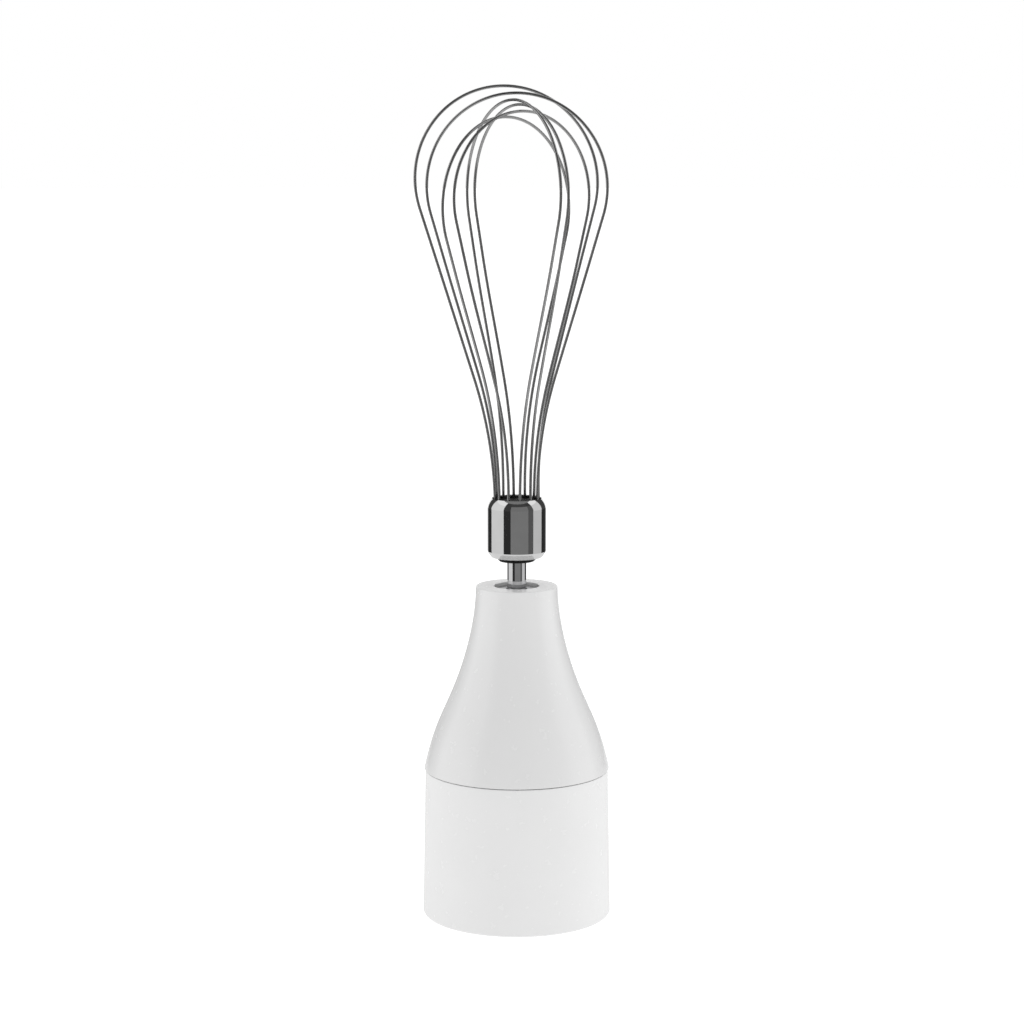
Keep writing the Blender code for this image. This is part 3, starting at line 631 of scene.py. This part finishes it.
def make_neck():
    """The turned steel bush sunk in the neck."""
    top, bottom = high("neck_bush"), low("neck_bush")
    flange = radius("neck_bush")
    neck = radii("neck_bush", top)[1] + 0.25 * MM
    bore = shaft_radius() + GAP
    seal = radius("neck_seal") + GAP
    seat = high("neck_seal") + GAP
    shoulder = high("cone_cover") - NECK_THICKNESS - GAP
    profile = rounded([
        (neck, top, 0.25 * MM),
        (neck, shoulder),
        (flange, shoulder, 0.3 * MM),
        (flange, bottom, 0.3 * MM),
        (seal, bottom, 0.2 * MM),
        (seal, seat),
        (bore, seat),
        (bore, top, 0.12 * MM),
    ])
    dress(turn("neck_disc", profile), DISC, "machined_steel", "housing", "neck_bush")


def shaft_radius():
    """Radius of the whisk shaft."""
    return radii("whisk_shaft", high("whisk_shaft") - 0.4 * MM)[1]


def make_shaft():
    """The ground steel shaft with its clip groove and hexagonal end."""
    rod = shaft_radius()
    top, bottom = high("whisk_shaft"), low("whisk_shaft")
    clip = (low("shaft_clip") + high("shaft_clip")) / 2
    hex_top = bottom + HEX_LENGTH
    groove = rod - CLIP_GROOVE
    profile = rounded([
        (0.0, top),
        (rod, top, 0.4 * MM),
        (rod, clip + 0.9 * MM),
        (groove, clip + 0.5 * MM, 0.1 * MM),
        (groove, clip - 0.5 * MM, 0.1 * MM),
        (rod, clip - 0.9 * MM),
        (rod, hex_top, 0.3 * MM),
        (0.0, hex_top),
    ])
    shaft = turn("whisk_rod", profile, 96)
    key = block("key", circle(rod, 6), bottom, hex_top + 1.0 * MM)
    soften = key.modifiers.new("edge", "BEVEL")
    soften.width = 0.25 * MM
    soften.segments = 2
    carve(shaft, [key], "UNION")
    dress(shaft, ROD, "machined_steel", "whisk", "whisk_shaft")


def make_ferrule():
    """The polished sleeve with its rolled shoulder and chamfered foot."""
    top, bottom, outer = high("ferrule"), low("ferrule"), radius("ferrule")
    mouth = plug_radius() + GAP
    lip, foot = radii("ferrule", bottom)
    seat = bottom + FERRULE_SEAT
    chamfer = bottom + FERRULE_CHAMFER
    start = np.array((mouth + 0.1 * MM, top))
    bend = np.array((outer - 0.25 * MM, top - 1.2 * MM))
    end = np.array((outer, top - FERRULE_SHOULDER))
    bow = []
    for t in np.linspace(0.0, 1.0, 17):
        r, z = start * (1 - t) ** 2 + bend * 2 * t * (1 - t) + end * t**2
        bow.append((float(r), float(z)))
    profile = rounded([
        *bow,
        (outer, top - FERRULE_SHOULDER - GAP),
        (outer, chamfer + 0.9 * MM),
        (outer, chamfer - 0.05 * MM, 0.9 * MM),
        (foot, bottom, 0.2 * MM),
        (lip, bottom, 0.1 * MM),
        (lip - 0.1 * MM, seat),
        (mouth, seat),
        (mouth, top - 0.25 * MM, 0.25 * MM),
    ])
    dress(turn("ferrule_sleeve", profile), MIRROR, "polished_steel", "whisk", "ferrule")


def plug_radius():
    """Radius of the wire plug."""
    return radius("wire_plug")


def hole_circle():
    """Distance of the wire ends from the axis."""
    return plug_radius() - WIRE_RADIUS


def groove_angle(index):
    """Angle of one of the twelve plug grooves, in degrees."""
    return HOLE_PHASE + 30.0 * index


def make_plug():
    """The black plug, grooved for the twelve wire ends, with its coned foot."""
    top, bottom = high("wire_plug"), low("wire_plug")
    ferrule_foot = low("ferrule")
    outer = plug_radius()
    nose = radii("ferrule", ferrule_foot)[0] - 0.4 * MM
    tip = ferrule_foot - bottom
    bore = shaft_radius() + GAP
    seat = ferrule_foot + FERRULE_SEAT + GAP
    grip = high("whisk_shaft") + 0.4 * MM
    profile = rounded([
        (0.0, top),
        (outer, top, 0.25 * MM),
        (outer, seat),
        (nose, seat),
        (nose, ferrule_foot - 0.6 * tip, 0.3 * MM),
        (nose - 0.5 * MM, bottom, 0.2 * MM),
        (bore, bottom, 0.05 * MM),
        (bore, grip),
        (0.0, grip),
    ])
    plug = turn("wire_holder", profile, 96)
    slot = 1.6 * WIRE_RADIUS
    grooves = []
    for index in range(2 * len(LOOPS)):
        turned = math.radians(groove_angle(index))
        reach = outer + MM - hole_circle()
        outline = [(reach, slot), *arc(slot, 90.0, 270.0, 11), (reach, -slot)]
        centre = polar(hole_circle(), groove_angle(index))
        outline = [
            (x * math.cos(turned) - y * math.sin(turned), x * math.sin(turned) + y * math.cos(turned))
            for x, y in outline
        ]
        grooves.append(block("groove", outline, top - WIRE_GRIP - 0.4 * MM, top + MM, centre))
    carve(plug, grooves)
    dress(plug, PLUG, "black_plastic", "whisk", "wire_plug")


def half_loop(rise, arc_radius, half_chord):
    """Half of a loop in its own plane, from its top down: top arc, straight leg and long outward bend."""
    start = high("ferrule")
    centre = start + rise - arc_radius
    across = half_chord + BEND_RADIUS
    up = centre - start
    tilt = math.atan2(up, across) - math.acos((arc_radius + BEND_RADIUS) / math.hypot(across, up))
    top = []
    for t in np.linspace(0.0, math.pi / 2 + tilt, 40):
        top.append((arc_radius * math.sin(t), centre + arc_radius * math.cos(t)))
    foot = []
    for t in np.linspace(tilt, 0.0, 24):
        foot.append((across - BEND_RADIUS * math.cos(t), start + BEND_RADIUS * math.sin(t)))
    (upper_s, upper_z), (lower_s, lower_z) = top[-1], foot[0]
    leg = []
    for k in np.linspace(0.1, 0.9, 9):
        leg.append((upper_s * (1 - k) + lower_s * k, upper_z * (1 - k) + lower_z * k))
    return top + leg + foot


def smooth_step(t):
    """An even rise from 0 to 1."""
    t = min(1.0, max(0.0, t))
    return t * t * (3 - 2 * t)


def loop_path(left, right, azimuth, rise, arc_radius, lean_x, lean_y):
    """The centre line of one wire loop, from one plug groove over its top to the other."""
    first = Vector(polar(hole_circle(), groove_angle(left)))
    second = Vector(polar(hole_circle(), groove_angle(right)))
    chord = second - first
    middle = (first + second) / 2
    rest = math.atan2(chord.y, chord.x)
    half = half_loop(rise, arc_radius, chord.length / 2)
    outline = [(-s, z) for s, z in reversed(half)] + half[1:]
    path = []
    for s, z in outline:
        t = (z - high("ferrule")) / rise
        turned = rest + (math.radians(azimuth) - rest) * smooth_step(t / TWIST_END)
        x = middle.x + s * math.cos(turned) + lean_x * t
        y = middle.y + s * math.sin(turned) + lean_y * t
        path.append((x, y, z))
    bottom = high("wire_plug") - WIRE_GRIP
    path.insert(0, (first.x, first.y, bottom))
    path.append((second.x, second.y, bottom))
    return path


def make_wires():
    """The six spring-steel loops."""
    for i, (left, right, azimuth, arc_radius, lean_x, lean_y) in enumerate(LOOPS):
        node = f"whisk_wire_{i + 1}"
        rise = high(node) - WIRE_RADIUS - high("ferrule")
        path = loop_path(left, right, azimuth, rise, arc_radius * MM, lean_x * MM, lean_y * MM)
        dress(tube(f"loop_{i + 1}", path, 0.998 * WIRE_RADIUS), WIRE, "wire_steel", "whisk", node)


def make_coupler():
    """The drive coupler with its lobed socket, seen from below."""
    top, bottom, outer = high("drive_coupler"), low("drive_coupler"), radius("drive_coupler")
    web = high("coupler_clip") + GAP
    bore = COUPLER_BORE
    profile = rounded([
        (0.0, top),
        (outer - 0.6 * MM, top, 0.6 * MM),
        (outer - 0.6 * MM, bottom + 2.8 * MM, 0.3 * MM),
        (outer, bottom + 2.2 * MM, 0.3 * MM),
        (outer, bottom, 0.6 * MM),
        (0.0, bottom),
    ])
    coupler = turn("coupler_dog", profile, 96)
    lobes = []
    for i in range(96):
        turned = 360.0 * i / 96
        wave = 0.5 + 0.5 * math.cos(math.radians(COUPLER_LOBES * turned - 45.0))
        lobes.append(polar(outer - 2.7 * MM + 1.1 * MM * smooth_step(wave * 1.6 - 0.3), turned))
    socket = block("socket", lobes, bottom - MM, web)
    half = math.degrees(math.acos((bore - 0.5 * MM) / bore))
    hole = block("bore", arc(bore, half, 360.0 - half, 40), web - MM, top + MM)
    carve(coupler, [socket, hole])
    dress(coupler, BLACK, "black_plastic", "input", "drive_coupler")


def make_screws():
    """The three cross-recessed screws under the web."""
    head = low("case_screw_1")
    tip = high("case_screw_1")
    neck = head + SCREW_HEAD_HEIGHT
    size, shank = SCREW_HEAD_RADIUS, SCREW_SHANK_RADIUS
    arm, half = 0.62 * size, 0.13 * size
    cross = [
        (arm, -half), (arm, half), (half, half), (half, arm), (-half, arm), (-half, half),
        (-arm, half), (-arm, -half), (-half, -half), (-half, -arm), (half, -arm), (half, -half),
    ]
    for i, (x, y) in enumerate(circle(screw_circle(), 3, SCREW_ANGLE)):
        profile = rounded([
            (0.0, tip),
            (0.5 * shank, tip),
            (shank, tip - MM, 0.2 * MM),
            (shank, neck),
            (size, neck, 0.15 * MM),
            (size, head + 0.5 * MM, 0.4 * MM),
            (size - 0.8 * MM, head, 0.6 * MM),
            (0.0, head),
        ])
        screw = turn(f"screw_{i + 1}", profile, SMALL_STEPS, (x, y))
        carve(screw, [block("cross", cross, head - MM, head + 0.8 * MM, (x, y))])
        dress(screw, STEEL, "machined_steel", "housing", f"case_screw_{i + 1}")


def dress_inside():
    """The gearbox pieces that keep their CAD shape get their full materials."""
    looks = {
        "grey_plastic": GREY,
        "natural_nylon": NYLON,
        "black_rubber": RUBBER,
        "machined_steel": STEEL,
        "bronze": BRONZE,
    }
    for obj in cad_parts.values():
        if obj.hide_render:
            continue
        slot = obj.material_slots[0].material.name
        obj.material_slots[0].material = looks[slot]


# ---------------------------------------------------------------- studio


def emission(name, strength, colour=(1.0, 1.0, 1.0)):
    """A plain glowing material."""
    made = bpy.data.materials.new(name)
    made.use_nodes = True
    tree = made.node_tree
    tree.nodes.clear()
    glow = tree.nodes.new("ShaderNodeEmission")
    glow.inputs["Color"].default_value = (*colour, 1.0)
    glow.inputs["Strength"].default_value = strength
    out = tree.nodes.new("ShaderNodeOutputMaterial")
    tree.links.new(glow.outputs["Emission"], out.inputs["Surface"])
    made.cycles.emission_sampling = "NONE"
    return made


def make_floor():
    """A white sweep, bright enough to melt into the background."""
    build = bmesh.new()
    bmesh.ops.create_circle(build, cap_ends=True, segments=96, radius=9.0)
    floor = finished("floor", build)
    look = Look("white_paper", grey(0.35), 0.9)
    look.tint(look.noise(60 * MM, look.place()), grey(0.34), grey(0.36))
    look.shader.inputs["Emission Color"].default_value = (1.0, 1.0, 1.0, 1.0)
    look.shader.inputs["Emission Strength"].default_value = 0.9
    look.shader.inputs["Specular IOR Level"].default_value = 0.0
    look.material.cycles.emission_sampling = "NONE"
    floor.data.materials.append(look.material)
    floor.visible_glossy = False
    build = bmesh.new()
    bmesh.ops.create_circle(build, cap_ends=True, segments=96, radius=GLEAM_RADIUS)
    bmesh.ops.translate(build, verts=build.verts, vec=(0.0, 0.0, -0.1 * MM))
    gleam = finished("floor_gleam", build)
    gleam.data.materials.append(emission("floor_gleam", 0.84))
    gleam.visible_camera = False
    gleam.visible_diffuse = False
    gleam.visible_shadow = False
    gleam.visible_transmission = False


# Studio wall: soft boxes and black flags by azimuth, counted from the camera's side towards +X. Each band has
# its brightness at foot level, beside the wires, and above them.
BANDS = (
    (-180.0, -150.0, (0.30, 1.00, 1.00)),
    (-150.0, -118.0, (0.03, 0.06, 0.10)),
    (-118.0, -53.0, (0.77, 0.85, 1.00)),
    (-53.0, -24.0, (0.03, 0.05, 0.05)),
    (-24.0, 46.0, (0.22, 0.20, 0.06)),
    (46.0, 68.0, (0.11, 0.10, 0.05)),
    (68.0, 114.0, (0.62, 0.75, 1.00)),
    (114.0, 152.0, (0.03, 0.06, 0.10)),
    (152.0, 180.0, (0.30, 1.00, 1.00)),
)

# Panels that only light the object: a shade in front and behind, and a soft box on either side.
SOFT_PANELS = (
    ("studio_shade", -48.0, 44.0, 0.74),
    ("studio_shade_left", -180.0, -140.0, 0.72),
    ("studio_shade_right", 140.0, 180.0, 0.72),
    ("studio_left", -128.0, -60.0, 1.26),
    ("studio_right", 56.0, 128.0, 1.42),
)


def panel(name, start, end, levels, distance, strength):
    """A curved glowing panel that stands round the object, out of the camera's sight."""
    build = bmesh.new()
    steps = max(2, int((end - start) / 3))
    lower, upper = [], []
    for k in range(steps + 1):
        angle = math.radians(start + (end - start) * k / steps)
        x, y = distance * math.sin(angle), -distance * math.cos(angle)
        lower.append(build.verts.new((x, y, levels[0])))
        upper.append(build.verts.new((x, y, levels[1])))
    for k in range(steps):
        build.faces.new((lower[k], lower[k + 1], upper[k + 1], upper[k]))
    made = finished(name, build)
    made.data.materials.append(emission(f"{name}_glow", strength))
    made.visible_camera = False
    made.visible_shadow = False
    made.visible_transmission = False
    return made


def make_wall():
    """The reflected studio, and the panels whose soft light models the white shells."""
    for i, (start, end, strengths) in enumerate(BANDS):
        for k, strength in enumerate(strengths):
            made = panel(f"studio_{i}_{k}", start, end, WALL_LEVELS[k:k + 2], WALL_RADIUS, strength)
            made.visible_diffuse = False
    build = bmesh.new()
    bmesh.ops.create_circle(build, cap_ends=True, segments=64, radius=WALL_RADIUS)
    bmesh.ops.translate(build, verts=build.verts, vec=(0.0, 0.0, WALL_LEVELS[-1]))
    ceiling = finished("studio_ceiling", build)
    ceiling.data.materials.append(emission("ceiling_glow", 0.22))
    ceiling.visible_camera = False
    ceiling.visible_diffuse = False
    ceiling.visible_shadow = False
    ceiling.visible_transmission = False
    for name, start, end, strength in SOFT_PANELS:
        made = panel(name, start, end, (0.0, WALL_LEVELS[-1]), 1.02 * WALL_RADIUS, strength)
        made.visible_glossy = False


def make_light():
    """An even white room."""
    world = bpy.data.worlds.new("white_room")
    world.use_nodes = True
    sky = world.node_tree.nodes["Background"]
    sky.inputs["Color"].default_value = (1.0, 1.0, 1.0, 1.0)
    sky.inputs["Strength"].default_value = 1.0
    world.cycles.sampling_method = "NONE"
    bpy.context.scene.world = world


def make_camera():
    """The camera, a little above the middle and looking slightly down."""
    data = bpy.data.cameras.new("camera")
    data.lens = CAMERA_LENS
    data.sensor_width = 36.0
    data.clip_start = 0.05
    data.clip_end = 50.0
    camera = bpy.data.objects.new("camera", data)
    camera.location = (CAMERA_SIDE, -CAMERA_DISTANCE, CAMERA_HEIGHT)
    camera.rotation_euler = (math.radians(90.0 - CAMERA_PITCH), 0.0, 0.0)
    bpy.context.scene.collection.objects.link(camera)
    bpy.context.scene.camera = camera


make_collar()
make_cover()
make_neck()
make_shaft()
make_ferrule()
make_plug()
make_wires()
make_coupler()
make_screws()
dress_inside()
make_floor()
make_wall()
make_light()
make_camera()
bpy.context.scene.view_settings.view_transform = "Standard"
